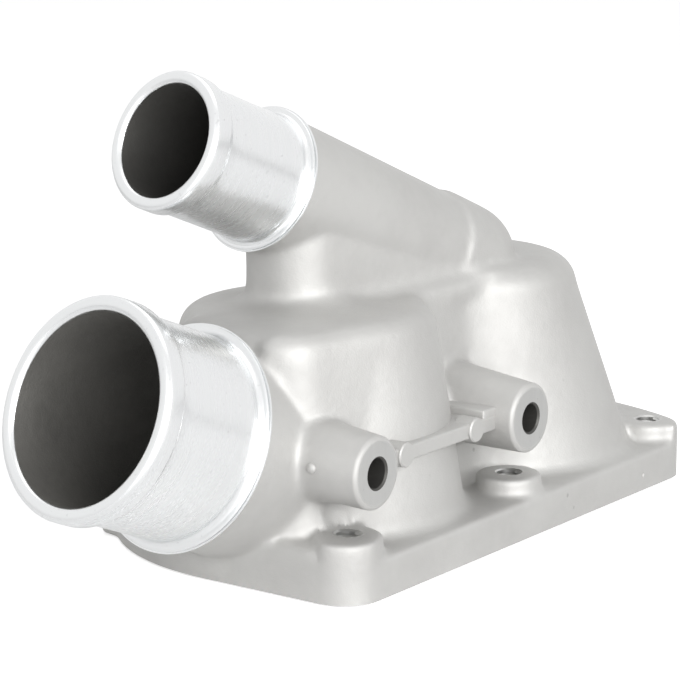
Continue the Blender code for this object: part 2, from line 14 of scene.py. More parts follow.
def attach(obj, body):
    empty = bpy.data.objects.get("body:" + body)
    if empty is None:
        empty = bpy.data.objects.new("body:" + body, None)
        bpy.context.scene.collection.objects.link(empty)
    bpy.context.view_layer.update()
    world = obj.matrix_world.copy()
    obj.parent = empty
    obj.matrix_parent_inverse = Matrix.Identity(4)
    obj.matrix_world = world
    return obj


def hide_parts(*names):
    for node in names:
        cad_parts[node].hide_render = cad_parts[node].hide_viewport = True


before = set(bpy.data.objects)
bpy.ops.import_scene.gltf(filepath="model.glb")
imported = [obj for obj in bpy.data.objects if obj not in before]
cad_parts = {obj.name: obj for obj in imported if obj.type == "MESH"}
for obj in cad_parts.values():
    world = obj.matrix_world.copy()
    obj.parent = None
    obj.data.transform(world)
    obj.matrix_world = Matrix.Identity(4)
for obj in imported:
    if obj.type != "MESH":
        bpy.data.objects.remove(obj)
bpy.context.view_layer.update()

bl_info = {
    "name": "Coolant Housing",
    "version": (1, 0, 0),
    "blender": (4, 5, 0),
    "location": "3D View > Sidebar > Housing",
    "description": "Builds a die-cast coolant housing with turned hose ends",
    "category": "Add Mesh",
}

MM = 0.001
UP = Vector((0, 0, 1))
BACK = Vector((0, 1, 0))
NODE = "housing"
UNDER = 4.0 * MM                  # stock below the flange face, milled off again


def size(label, text, millimetres):
    """Length property given in millimetres."""
    return FloatProperty(name=label, description=text, default=millimetres * MM, min=0.0, precision=5,
                         unit="LENGTH")


def angle(label, text, degrees):
    """Angle property given in degrees."""
    return FloatProperty(name=label, description=text, default=math.radians(degrees), unit="ROTATION")


def colour(label, text, value):
    """Colour property."""
    return FloatVectorProperty(name=label, description=text, default=value, subtype="COLOR", size=3,
                               min=0.0, max=1.0)


class CastingSizes(bpy.types.PropertyGroup):
    """Sizes of the cast body."""
    flange_height: size("Flange height", "Machined face to the top of the flange", 9.2)
    flange_width: size("Flange width", "Flange across its long sides", 85.0)
    flange_left: size("Flange left", "Origin to the straight left end", 72.0)
    flange_right: size("Flange right", "Origin to the crown of the right end", 81.9)
    flange_corner: size("Flange corner", "Corner radius of the flange", 9.0)
    end_radius: size("End radius", "Crown of the right end", 90.0)
    far_radius: size("Far radius", "Rounding of the far left side", 54.0)
    pad_height: size("Pad height", "Machined face to the top of the pads", 13.7)
    pad_radius: size("Pad radius", "Pads round the fixing holes", 7.9)
    ridge_height: size("Ridge height", "Low ridge along the left end", 12.0)
    left_radius: size("Left lobe", "Radius of the left lobe at its foot", 36.2)
    left_draft: angle("Left draft", "Draft of the left lobe's wall", 9.0)
    right_radius: size("Right lobe", "Radius of the right lobe at its foot", 37.7)
    right_draft: angle("Right draft", "Draft of the right lobe's wall", 14.6)
    right_lean: angle("Right lean", "Lean of the right lobe's axis", 7.5)
    left_top: size("Left roof", "Machined face to the roof of the left lobe", 57.0)
    right_top: size("Right roof", "Machined face to the roof of the right lobe", 58.5)
    saddle_top: size("Saddle roof", "Machined face to the roof between the lobes", 57.3)
    web_near: size("Web near side", "Pipe axis to the near side of the web", 13.5)
    web_far: size("Web far side", "Pipe axis to the far side of the web", 10.0)
    pipe_radius: size("Pipe radius", "Cast pipe behind the small hose end", 16.0)
    pipe_draft: angle("Pipe draft", "Taper of the cast pipe", 1.9)
    elbow_step: size("Elbow step", "Step where the elbow begins", 0.8)
    neck_radius: size("Neck radius", "Cast neck behind the large hose end", 23.4)
    boss_radius: size("Boss radius", "Side bosses at their faces", 8.3)
    boss_draft: angle("Boss draft", "Draft of the side bosses", 3.4)
    rib_thickness: size("Rib thickness", "Rib between the side bosses", 3.6)
    grain: size("Mesh grain", "Cell size of the cast skin's mesh", 0.68)


class HoseEndSizes(bpy.types.PropertyGroup):
    """Sizes of the turned hose ends."""
    large_bore: size("Large bore", "Bore radius of the large hose end", 21.5)
    large_wall: size("Large wall", "Wall of the large hose end", 2.1)
    large_bead: size("Large bead", "Bead height of the large hose end", 1.5)
    large_ring: size("Large ring", "Stop ring height of the large hose end", 2.4)
    large_length: size("Large length", "Mouth to the back of the ring", 32.0)
    small_bore: size("Small bore", "Bore radius of the small hose end", 13.0)
    small_wall: size("Small wall", "Wall of the small hose end", 2.1)
    small_bead: size("Small bead", "Bead height of the small hose end", 0.95)
    small_ring: size("Small ring", "Stop ring height of the small hose end", 2.1)
    small_length: size("Small length", "Mouth to the back of the ring", 33.0)
    segments: IntProperty(name="Segments", description="Faces round a turned piece", default=144, min=24)


class HoleSizes(bpy.types.PropertyGroup):
    """Sizes of the chambers and holes."""
    left_chamber: size("Left chamber", "Radius of the left chamber at the flange face", 30.4)
    right_chamber: size("Right chamber", "Radius of the right chamber at the flange face", 28.0)
    seat_radius: size("Seat radius", "Radius of the turned seat", 31.0)
    seat_depth: size("Seat depth", "Depth of the turned seat", 3.4)
    roof: size("Roof", "Thickness over the chambers", 5.0)
    throat: size("Throat", "Radius of the way from the elbow to the right chamber", 9.5)
    thread_root: size("Thread root", "Root radius of the tapped holes", 2.95)
    thread_crest: size("Thread crest", "Crest radius of the tapped holes", 2.5)
    thread_pitch: size("Thread pitch", "Pitch of the tapped holes", 1.0)
    boss_hole: size("Boss hole", "Radius of the blind holes in the bosses", 3.4)
    boss_depth: size("Boss hole depth", "Depth of the blind holes in the bosses", 18.0)


class Finishes(bpy.types.PropertyGroup):
    """Colours of the finishes."""
    skin: colour("Cast skin", "Blasted die-cast skin", (0.515, 0.512, 0.50))
    skin_dark: colour("Cast skin shade", "Darker patches of the skin", (0.475, 0.47, 0.46))
    # painted shade: the inside tone is kept far darker than the skin so that waterways and bores look shaded
    # inside
    inside: colour("Inside", "Dull skin of the waterways", (0.165, 0.161, 0.15))
    turned: colour("Turned", "Bright turned aluminium", (0.82, 0.83, 0.835))
    milled: colour("Milled", "Milled and drilled faces", (0.56, 0.56, 0.55))


class StageSettings(bpy.types.PropertyGroup):
    """Light and camera."""
    lens: FloatProperty(name="Lens", description="Focal length", default=156.2, min=1.0, unit="CAMERA")
    camera: FloatVectorProperty(name="Camera", description="Camera position", size=3, unit="LENGTH",
                                default=(-0.5679, -0.4018, 0.1957))
    view: FloatVectorProperty(name="View", description="Direction that the camera looks in", size=3,
                              default=(0.7880, 0.5766, -0.2158))
    fill: FloatProperty(name="Fill", description="World light on the object", default=0.42, min=0.0)
    floor: colour("Floor", "Colour of the floor", (0.86, 0.86, 0.86))


# Places that the CAD model shares
LEFT_PLACE = Vector((-33.0, -1.2, 0)) * MM
RIGHT_PLACE = Vector((33.5, 0, 0)) * MM
LEFT_CHAMBER_PLACE = Vector((-33.0, 0, 0)) * MM
LARGE_ROOT = Vector((-60.0, -3.2, 26.2)) * MM
LARGE_REACH = 52.2 * MM
ELBOW = Vector((25.8, -3.2, 58.2)) * MM
ELBOW_FOOT_SHIFT = 4.5 * MM       # the elbow's foot lies towards the mouth, clear of the roof's edge
FOOT_FILLET = 3.4 * MM            # fillet of the elbow and the web on the roofs
SMALL_REACH = 107.2 * MM
ELBOW_LENGTH = 12.5 * MM
SPIGOT_TURN = math.radians(7.0)
SPIGOT_RISE = math.radians(22.3)
BOSS_PLACES = [Vector((x, -41.0, 28.3)) * MM for x in (-60.9, 1.1)]
HOLE_PLACES = [Vector((x, y, 0)) * MM for x, y in
               ((-61.6, -33.5), (3.4, -33.5), (68.4, -33.5), (-50.1, 33.5), (3.4, 33.5), (68.4, 33.5))]
BOSS_DOT = Vector((-69.8, -29.5, 29.6)) * MM
FLANGE_DOT = Vector((51.0, -42.6, 4.0)) * MM
LEFT_BOSS_DEPTH = 12.5 * MM       # its blind hole ends before the large bore
RIB_FACE = -36.5 * MM
PIN_PAD_OFFSET = 16.9 * MM
LOBE_LOW = 12.4 * MM              # where the lobes' drafted walls begin, above the fillets
LOBE_STEPS = 128
CORNER_DRAFT = math.radians(3.0)  # draft beside the large neck
SADDLE_DRAFT = math.radians(7.0)
FLANK_DRAFT = math.radians(8.75)
FLANK_TURN = math.radians(26.0)
LAST_PASSES = 3                   # smoothing passes that the whole skin gets in the end
SKIN, MILLED, INSIDE_PAINTED_SHADE, DRILLED_PAINTED_SHADE = range(4)
SPIGOT_AXIS = Vector((-math.cos(SPIGOT_RISE) * math.cos(SPIGOT_TURN),
                      math.cos(SPIGOT_RISE) * math.sin(SPIGOT_TURN), math.sin(SPIGOT_RISE)))
LARGE_MOUTH = LARGE_ROOT + SPIGOT_AXIS * LARGE_REACH
SMALL_MOUTH = ELBOW + SPIGOT_AXIS * SMALL_REACH


def arc(cx, cy, radius, start, end, steps):
    """Points of a small arc in a turned profile, angles in degrees."""
    turns = [math.radians(start + (end - start) * i / steps) for i in range(steps + 1)]
    return [(cx + radius * math.cos(a), cy + radius * math.sin(a)) for a in turns]


def turned(profile, base, axis, steps=96, closed=False):
    """Solid of revolution from a profile of (radius, height), or a ring from a closed section."""
    bm = bmesh.new()
    verts = [bm.verts.new((radius, 0.0, height)) for radius, height in profile]
    nexts = verts[1:] + verts[:1] if closed else verts[1:]
    edges = [bm.edges.new(pair) for pair in zip(verts, nexts)]
    bmesh.ops.spin(bm, geom=verts + edges, cent=(0, 0, 0), axis=(0, 0, 1), angle=math.tau, steps=steps,
                   use_merge=True)
    bmesh.ops.remove_doubles(bm, verts=bm.verts, dist=1e-7)
    bmesh.ops.recalc_face_normals(bm, faces=bm.faces)
    turn = UP.rotation_difference(axis).to_matrix().to_4x4()
    bmesh.ops.transform(bm, matrix=Matrix.Translation(base) @ turn, verts=bm.verts)
    return bm


def cylinder(radius, low, high, base, axis, steps=96):
    """Plain solid cylinder."""
    return turned([(0, low), (radius, low), (radius, high), (0, high)], base, axis, steps)


def arc_loop(bm, arcs, z):
    """Closed loop of edges at a height through arcs, each spun from one vertex."""
    before = set(bm.edges)
    ends = []
    for cx, cy, radius, start, end, steps in arcs:
        a = math.radians(start)
        first = bm.verts.new((cx + radius * math.cos(a), cy + radius * math.sin(a), z))
        spun = bmesh.ops.spin(bm, geom=[first], cent=(cx, cy, z), axis=(0, 0, 1),
                              angle=math.radians(end - start), steps=steps)
        last = [item for item in spun["geom_last"] if isinstance(item, bmesh.types.BMVert)][0]
        ends.append((first, last))
    for (_, last), (first, _) in zip(ends, ends[1:] + ends[:1]):
        bm.edges.new((last, first))
    return [edge for edge in bm.edges if edge not in before]


def round_edges(bm, edges, radius, segments):
    """Bevel edges to a round."""
    bmesh.ops.bevel(bm, geom=edges, offset=radius, segments=segments, profile=0.5, affect="EDGES",
                    material=-1)


def plate(arcs, bottom, top, edge_round=0.0):
    """Plate whose outline runs through arcs."""
    bm = bmesh.new()
    filled = bmesh.ops.contextual_create(bm, geom=arc_loop(bm, arcs, bottom))
    grown = bmesh.ops.extrude_face_region(bm, geom=filled["faces"])
    moved = [item for item in grown["geom"] if isinstance(item, bmesh.types.BMVert)]
    bmesh.ops.translate(bm, vec=(0, 0, top - bottom), verts=moved)
    if edge_round:
        rim = [e for e in bm.edges if all(abs(v.co.z - top) < 1e-7 for v in e.verts)]
        round_edges(bm, rim, edge_round, 3)
    bmesh.ops.recalc_face_normals(bm, faces=bm.faces)
    return bm


def block(low, high, draft=0.0, corner=0.0, top_round=0.0):
    """Block whose upright sides lean in by the draft, with round corners and top edge."""
    bm = bmesh.new()
    bmesh.ops.create_cube(bm, size=1.0)
    extent = [b - a for a, b in zip(low, high)]
    middle = [(a + b) / 2 for a, b in zip(low, high)]
    place = Matrix.Translation(middle) @ Matrix.Diagonal((*extent, 1.0))
    bmesh.ops.transform(bm, matrix=place, verts=bm.verts)
    lean = extent[2] * math.tan(draft)
    for vert in bm.verts:
        if vert.co.z > middle[2]:
            vert.co.x -= math.copysign(lean, vert.co.x - middle[0])
            vert.co.y -= math.copysign(lean, vert.co.y - middle[1])
    if corner:
        upright = [e for e in bm.edges if abs(e.verts[0].co.z - e.verts[1].co.z) > extent[2] / 2]
        round_edges(bm, upright, corner, 8)
    if top_round:
        rim = [e for e in bm.edges if all(v.co.z > high[2] - 1e-7 for v in e.verts)]
        round_edges(bm, rim, top_round, 6)
    return bm


def cut_flat(bm, place, normal):
    """Cut off what lies beyond a plane and close the solid there."""
    cut = bmesh.ops.bisect_plane(bm, geom=bm.verts[:] + bm.edges[:] + bm.faces[:], plane_co=place,
                                 plane_no=normal, clear_outer=True)
    rim = [item for item in cut["geom_cut"] if isinstance(item, bmesh.types.BMEdge)]
    bmesh.ops.holes_fill(bm, edges=rim)
    bmesh.ops.recalc_face_normals(bm, faces=bm.faces)


def joined(shapes):
    """One bmesh that holds all the given ones."""
    total = bmesh.new()
    for bm in shapes:
        mesh = bpy.data.meshes.new("shape")
        bm.to_mesh(mesh)
        bm.free()
        total.from_mesh(mesh)
        bpy.data.meshes.remove(mesh)
    return total


def in_scene(name, data):
    """Object in the scene that holds the data."""
    obj = bpy.data.objects.new(name, data)
    bpy.context.scene.collection.objects.link(obj)
    return obj


def to_object(name, bm):
    """Object in the scene with the bmesh as its mesh."""
    mesh = bpy.data.meshes.new(name)
    bm.to_mesh(mesh)
    bm.free()
    return in_scene(name, mesh)


def settle(obj):
    """Apply the object's modifiers to its mesh."""
    evaluated = obj.evaluated_get(bpy.context.evaluated_depsgraph_get())
    mesh = bpy.data.meshes.new_from_object(evaluated)
    old = obj.data
    obj.modifiers.clear()
    obj.data = mesh
    bpy.data.meshes.remove(old)


def boolean(obj, shapes, operation):
    """Add or cut shapes that do not touch each other."""
    tool = to_object("tool", joined(shapes))
    mod = obj.modifiers.new("boolean", "BOOLEAN")
    mod.operation = operation
    mod.solver = "MANIFOLD"
    mod.object = tool
    settle(obj)
    bpy.data.objects.remove(tool, do_unlink=True)


def finish_piece(obj, looks, sharp=32.0):
    """Looks, smooth shading with crisp machined edges, and the piece's place in the frame."""
    obj.data.materials.clear()
    for look in looks:
        obj.data.materials.append(look)
    obj.data.shade_smooth()
    obj.data.set_sharp_from_angle(angle=math.radians(sharp))
    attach(obj, "root")
    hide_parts(NODE)


def pipe_radius_at(sizes, ends, depth):
    """Radius of the cast pipe at a depth below the mouth."""
    return sizes.pipe_radius - (depth - ends.small_length) * math.tan(sizes.pipe_draft)


# Cast body

def flange_arcs(sizes):
    """Outline of the flange as arcs, counter-clockwise from the near left corner."""
    half = sizes.flange_width / 2
    c = sizes.flange_corner
    corner_y = half - c
    end_x = sizes.flange_right - sizes.end_radius
    corner_x = end_x + math.sqrt((sizes.end_radius - c) ** 2 - corner_y ** 2)
    lean = math.degrees(math.atan2(corner_y, corner_x - end_x))
    far_x = sizes.far_radius - sizes.flange_left
    sweep_x = far_x - math.sqrt((sizes.far_radius - c) ** 2 - corner_y ** 2)
    sweep = math.degrees(math.atan2(corner_y, sweep_x - far_x))
    return [(c - sizes.flange_left, -corner_y, c, 180, 270, 12),
            (corner_x, -corner_y, c, 270, 360 - lean, 10),
            (end_x, 0, sizes.end_radius, -lean + 1, lean - 1, 24),
            (corner_x, corner_y, c, lean, 90, 10),
            (sweep_x, corner_y, c, 90, sweep, 8),
            (far_x, 0, sizes.far_radius, sweep + 1, 180, 24)]


def flange_shapes(sizes):
    """Flange, pads, the raised right end and the low ridge at the left end."""
    c = sizes.flange_corner
    r = sizes.pad_radius
    half = sizes.flange_width / 2
    edge = 0.6 * MM
    shapes = [plate(flange_arcs(sizes), -UNDER, sizes.flange_height, 0.8 * MM)]
    corner = (c - sizes.flange_left, c - half, c, 180, 270, 10)
    near = HOLE_PLACES[0]
    shapes.append(plate([corner, (near.x, near.y, r, 290, 505, 20)], 0, sizes.pad_height, edge))
    for k in (1, 3, 4):
        place = HOLE_PLACES[k]
        shapes.append(plate([(place.x, place.y, r, 0, 350, 36)], 0, sizes.pad_height, edge))
    far = HOLE_PLACES[3]
    side = half - 0.05 * MM
    shapes.append(block((far.x - r, far.y, 0), (far.x + r - 1 * MM, side, sizes.pad_height), corner=2 * MM))
    low, high = HOLE_PLACES[2], HOLE_PLACES[5]
    arcs = flange_arcs(sizes)
    shapes.append(plate([(low.x, low.y, r, 150, 265, 14)] + arcs[1:4] + [(high.x, high.y, r, 95, 210, 14)],
                        0, sizes.pad_height, edge))
    left = -sizes.flange_left
    shapes.append(block((left + 0.1 * MM, near.y, 0), (left + 13 * MM, near.y + 25 * MM, sizes.ridge_height),
                        corner=3 * MM, top_round=1.5 * MM))
    return shapes


def lobe_profile(foot, draft, edge_round, top):
    """Outside of a lobe with a fillet at its foot, from the axis below to the axis on top."""
    fillet, bottom, parts = 3.2 * MM, 1 * MM, 4
    slope = math.tan(draft)
    shoulder = top - edge_round
    rise = shoulder - LOBE_LOW
    rim = foot - rise * slope
    points = [(0, bottom), (foot + fillet, bottom), (foot + fillet, LOBE_LOW - fillet)]
    points += [(foot + fillet - dx, LOBE_LOW - dz) for dx, dz in arc(0, 0, fillet, 80, 8, 6)]
    points += [(foot - rise * slope * k / parts, LOBE_LOW + rise * k / parts) for k in range(1, parts)]
    points += [(rim - edge_round + dx, shoulder + dz) for dx, dz in arc(0, 0, edge_round, 0, 90, 10)]
    return points + [(0, top)]


def lobe_shapes(sizes):
    """Both lobes, the square shoulder behind the large hose end and the saddle."""
    left = lobe_profile(sizes.left_radius, sizes.left_draft, 6 * MM, sizes.left_top)
    right = lobe_profile(sizes.right_radius, sizes.right_draft, 7 * MM, sizes.right_top)
    left, right = turned(left, LEFT_PLACE, UP, LOBE_STEPS), turned(right, RIGHT_PLACE, UP, LOBE_STEPS)
    lean = math.tan(sizes.right_lean)
    shear = Matrix.Identity(4)
    shear[0][2] = -lean
    shear[0][3] = lean * sizes.right_top
    bmesh.ops.transform(right, matrix=shear, verts=right.verts)
    end, near, far = -69.7 * MM, -24.6 * MM, 17.0 * MM
    roof = sizes.left_top - 0.2 * MM
    shoulder = block((end, near, 4 * MM), (LEFT_PLACE.x, far, roof), CORNER_DRAFT, 7 * MM, 4 * MM)
    return [left, right, shoulder, near_wall(sizes)] + saddle_shapes(sizes)


def near_wall(sizes):
    """Wall that runs smoothly from the left lobe's round to the corner by the large neck."""
    edge, corner, core = 4.5 * MM, 11 * MM, 1 * MM
    corner_x, corner_y, side_draft = -59.6 * MM, -17.7 * MM, math.radians(5.0)
    inner_end = 290
    shoulder = sizes.left_top - edge
    levels = [(5 * MM, 0.0), (shoulder, 0.0)]
    levels += [(shoulder + dz, edge - dx) for dx, dz in arc(0, 0, edge, 15, 88, 6)]
    bm = bmesh.new()
    loops = []
    for z, inset in levels:
        rise = min(z, shoulder) - LOBE_LOW
        centre = Vector((corner_x + rise * math.tan(CORNER_DRAFT), corner_y + rise * math.tan(side_draft)))
        radius = sizes.left_radius - rise * math.tan(sizes.left_draft)
        gap = centre - LEFT_PLACE.xy
        face = math.atan2(gap.y, gap.x) % math.tau + math.acos((radius - corner) / gap.length)
        face = math.degrees(face)
        arcs = [(centre.x, centre.y, corner - inset, 180, face, 8),
                (LEFT_PLACE.x, LEFT_PLACE.y, radius - inset, face, inner_end, 10),
                (LEFT_PLACE.x, LEFT_PLACE.y, core, inner_end, 180, 2)]
        loops.append(arc_loop(bm, arcs, z))
    for below, above in zip(loops[:-1], loops[1:]):
        bmesh.ops.bridge_loops(bm, edges=below + above)
    bmesh.ops.holes_fill(bm, edges=loops[0])
    bmesh.ops.holes_fill(bm, edges=loops[-1])
    bmesh.ops.recalc_face_normals(bm, faces=bm.faces)
    return bm


def saddle_shapes(sizes):
    """Saddle between the lobes that carries the web, with slanting flanks towards the right lobe."""
    bottom, left, right, half = 9 * MM, -16 * MM, 20 * MM, 22.3 * MM
    shapes = [block((left, -half, bottom), (right, half, sizes.saddle_top), SADDLE_DRAFT, 0, 5 * MM)]
    flank_half, flank_left, flank_x, flank_y = 12 * MM, -12 * MM, 8 * MM, 23.5 * MM
    for side in (-1, 1):
        flank = block((flank_left, -flank_half, bottom), (right, flank_half, sizes.saddle_top - 1 * MM),
                      FLANK_DRAFT, 0, 4 * MM)
        turn = Matrix.Rotation(side * FLANK_TURN, 4, "Z") @ Matrix.Translation((0, -side * flank_half, 0))
        place = Matrix.Translation((flank_x, side * flank_y, 0))
        bmesh.ops.transform(flank, matrix=place @ turn, verts=flank.verts)
        shapes.append(flank)
    return shapes


def neck_shapes(sizes, ends):
    """Cast neck of the large hose end and the cast pipe with its elbow."""
    under, deep, flare = 26 * MM, 60 * MM, 0.8 * MM
    neck = turned([(0, -deep), (sizes.neck_radius + flare, -deep), (sizes.neck_radius, -under), (0, -under)],
                  LARGE_MOUTH, SPIGOT_AXIS)
    step = SMALL_REACH - ELBOW_LENGTH
    run = 0.6 * MM
    radius = pipe_radius_at(sizes, ends, SMALL_REACH) + sizes.elbow_step
    profile = [(0, -under), (sizes.pipe_radius, -under), (sizes.pipe_radius, -ends.small_length),
               (pipe_radius_at(sizes, ends, step - run), run - step),
               (pipe_radius_at(sizes, ends, step) + sizes.elbow_step, -step)]
    profile += [(dx, -SMALL_REACH - dz) for dx, dz in arc(0, 0, radius, 0, 90, 12)]
    pipe = turned(profile[::-1], SMALL_MOUTH, SPIGOT_AXIS)
    roof = sizes.right_top - ELBOW.z
    low, foot, fillet = roof - 5 * MM, sizes.web_near, FOOT_FILLET
    profile = [(0, low), (foot + fillet, low), (foot + fillet, roof)]
    profile += [(foot + fillet - dx, roof + fillet - dz) for dx, dz in arc(0, 0, fillet, 84, 6, 6)]
    profile += [(foot, fillet), (0, fillet)]
    place = ELBOW + Vector((SPIGOT_AXIS.x, SPIGOT_AXIS.y, 0)).normalized() * ELBOW_FOOT_SHIFT
    return [neck, pipe, turned(profile, place, UP)]


def web_shape(sizes):
    """Upright block under the pipe with a flared foot, and the swell of the left roof below the pipe."""
    heading = Matrix.Rotation(math.atan2(-SPIGOT_AXIS.y, -SPIGOT_AXIS.x), 4, "Z")
    front, back, corner = -44.0 * MM - ELBOW.x, 6 * MM, 10.5 * MM
    front_flare = 1.5
    roof = sizes.left_top - ELBOW.z
    low, stock, fillet = roof - 4 * MM, roof + 45 * MM, FOOT_FILLET
    bm = block((front, -sizes.web_near, low), (back, sizes.web_far, stock), 0, corner)
    for dx, dz in arc(0, 0, fillet, 84, 4, 7):
        spread = fillet - dx
        step = block((front - front_flare * spread, -sizes.web_near - spread, low),
                     (back, sizes.web_far + spread, roof + fillet - dz), 0, corner + spread)
        bm = joined([bm, step])
    bmesh.ops.transform(bm, matrix=Matrix.Translation(ELBOW) @ heading, verts=bm.verts)
    side = SPIGOT_AXIS.cross(UP).normalized()
    normal = side.cross(SPIGOT_AXIS).normalized()
    cut_flat(bm, ELBOW + normal * 2 * MM, normal)
    inner, wide, rise, sink = 8 * MM, 11 * MM, 5 * MM, 4 * MM
    profile = [(0, -sink), (inner + wide, -sink), (inner + wide, 0)]
    profile += [(inner + wide * (1 - dx), rise * (1 - dz)) for dx, dz in arc(0, 0, 1, 84, 6, 7)]
    profile += [(inner, rise), (0, rise)]
    return joined([bm, turned(profile, LEFT_PLACE + UP * sizes.left_top, UP)])


def boss_shapes(sizes):
    """Side bosses, longer than needed at the face, level underneath."""
    shapes = []
    over, length = 3 * MM, 27 * MM
    grow = math.tan(sizes.boss_draft)
    for place in BOSS_PLACES:
        profile = [(0, -over), (sizes.boss_radius - over * grow, -over),
                   (sizes.boss_radius + length * grow, length), (0, length)]
        bm = turned(profile, (0, 0, 0), BACK)
        shear = Matrix.Identity(4)
        shear[2][1] = grow
        bmesh.ops.transform(bm, matrix=Matrix.Translation(place) @ shear, verts=bm.verts)
        shapes.append(bm)
    return shapes


def rib_shapes(sizes):
    """Rib between the bosses, then the stay and the pin pads that stand on it."""
    left, right = BOSS_PLACES
    low = left.z - sizes.rib_thickness / 2
    high = left.z + sizes.rib_thickness / 2
    back = RIB_FACE + 18 * MM
    stay_x = right.x - PIN_PAD_OFFSET
    rib = block((left.x, RIB_FACE, low), (right.x, back, high))
    stay = block((stay_x + 3.8 * MM, RIB_FACE + 0.2 * MM, low + 0.3 * MM),
                 (right.x - 4 * MM, back, high + 1.9 * MM))
    for bm in (rib, stay):
        round_edges(bm, bm.edges[:], 0.45 * MM, 3)
    out, deep, radius, chamfer = 0.7 * MM, 4 * MM, 2.9 * MM, 0.3 * MM
    profile = [(0, -out), (radius - chamfer, -out), (radius, chamfer - out), (radius, deep), (0, deep)]
    pads = [turned(profile, (x, RIB_FACE, left.z), BACK, 48) for x in (left.x + PIN_PAD_OFFSET, stay_x)]
    return [rib], [stay] + pads


def soften_passes(co):
    """How many smoothing passes the cast skin gets at a point, few where small rounds have to stay."""
    x, y, z = co.x / MM, co.y / MM, co.z / MM
    offset = co - ELBOW
    along = offset.dot(SPIGOT_AXIS) / MM
    away = (offset - SPIGOT_AXIS * along * MM).length / MM
    by_boss = any(math.hypot(x - p.x / MM, z - p.z / MM - 1) < 12.5 for p in BOSS_PLACES)
    zones = (
        (z < 9.0, 4),                                     # flange
        (z < 15.5 and (abs(y) > 24 or abs(x) > 58), 7),   # pads and ridge
        (y < -27 and 18 < z < 42, 4),                     # bosses
        (y < -13 and by_boss, 5),                         # feet of the bosses
        (along > 2 and away < 18 and z > 61, 3),          # pipe
        (x < -57 and 15 < z < 46, 4),                     # neck
        (-4 < x < 22 and z < 54 and abs(y) > 10, round(min(70, 20 + 50 * (54 - z) / 10))),  # saddle's sides
        (z > 50 and x > 16, 8))                           # roof behind the elbow
    return next((passes for inside, passes in zones if inside), 20)


def soften(obj):
    """Smooth the voxel skin, more where the casting has wide fillets."""
    bm = bmesh.new()
    bm.from_mesh(obj.data)
    wanted = [(soften_passes(v.co), v) for v in bm.verts]
    turns = [[v for p, v in wanted if p > k] for k in range(max(p for p, _ in wanted))]
    for verts in turns + [bm.verts[:]] * LAST_PASSES:
        bmesh.ops.smooth_vert(bm, verts=verts, factor=0.5, use_axis_x=True, use_axis_y=True, use_axis_z=True)
    bm.to_mesh(obj.data)
    bm.free()


def screw_room(sizes):
    """Hollow in the wall that leaves room for a screw head on the pad by the large neck."""
    width, height, dome = 6.4 * MM, 7.5 * MM, 3 * MM
    profile = [(0, 0.1 * MM), (width, 0.1 * MM), (width, height - dome)]
    profile += [(width - dome + dx, height - dome + dz) for dx, dz in arc(0, 0, dome, 15, 90, 5)]
    return turned(profile + [(0, height)], HOLE_PLACES[0] + UP * sizes.pad_height, UP, 64)


def cast_skin(sizes, ends):
    """Outer skin of the casting, still solid inside."""
    shapes = flange_shapes(sizes) + lobe_shapes(sizes) + neck_shapes(sizes, ends)
    shapes += [web_shape(sizes)] + boss_shapes(sizes)
    obj = to_object("cast_body", joined(shapes))
    mod = obj.modifiers.new("skin", "REMESH")
    mod.mode = "VOXEL"
    mod.voxel_size = sizes.grain
    settle(obj)
    boolean(obj, [screw_room(sizes)], "DIFFERENCE")
    soften(obj)
    for crisp in rib_shapes(sizes):
        boolean(obj, crisp, "UNION")
    return obj


def chamber_shape(radius, draft, roof, place):
    """Inside of a lobe, open at the flange face."""
    slope = math.tan(draft)
    edge, past = 4 * MM, 2 * MM
    shoulder = roof - edge
    rim = radius - shoulder * slope
    points = [(0, -past), (radius + past * slope, -past)]
    points += [(rim - edge + dx, shoulder + dz) for dx, dz in arc(0, 0, edge, 0, 90, 8)]
    return turned(points + [(0, roof)], place, UP, LOBE_STEPS)


def dot(place, radius, scale):
    """Small round mark that an ejector pin or a vent leaves on the skin."""
    bm = bmesh.new()
    matrix = Matrix.Translation(place) @ Matrix.Diagonal((*scale, 1.0))
    bmesh.ops.create_uvsphere(bm, u_segments=20, v_segments=12, radius=radius, matrix=matrix)
    return bm


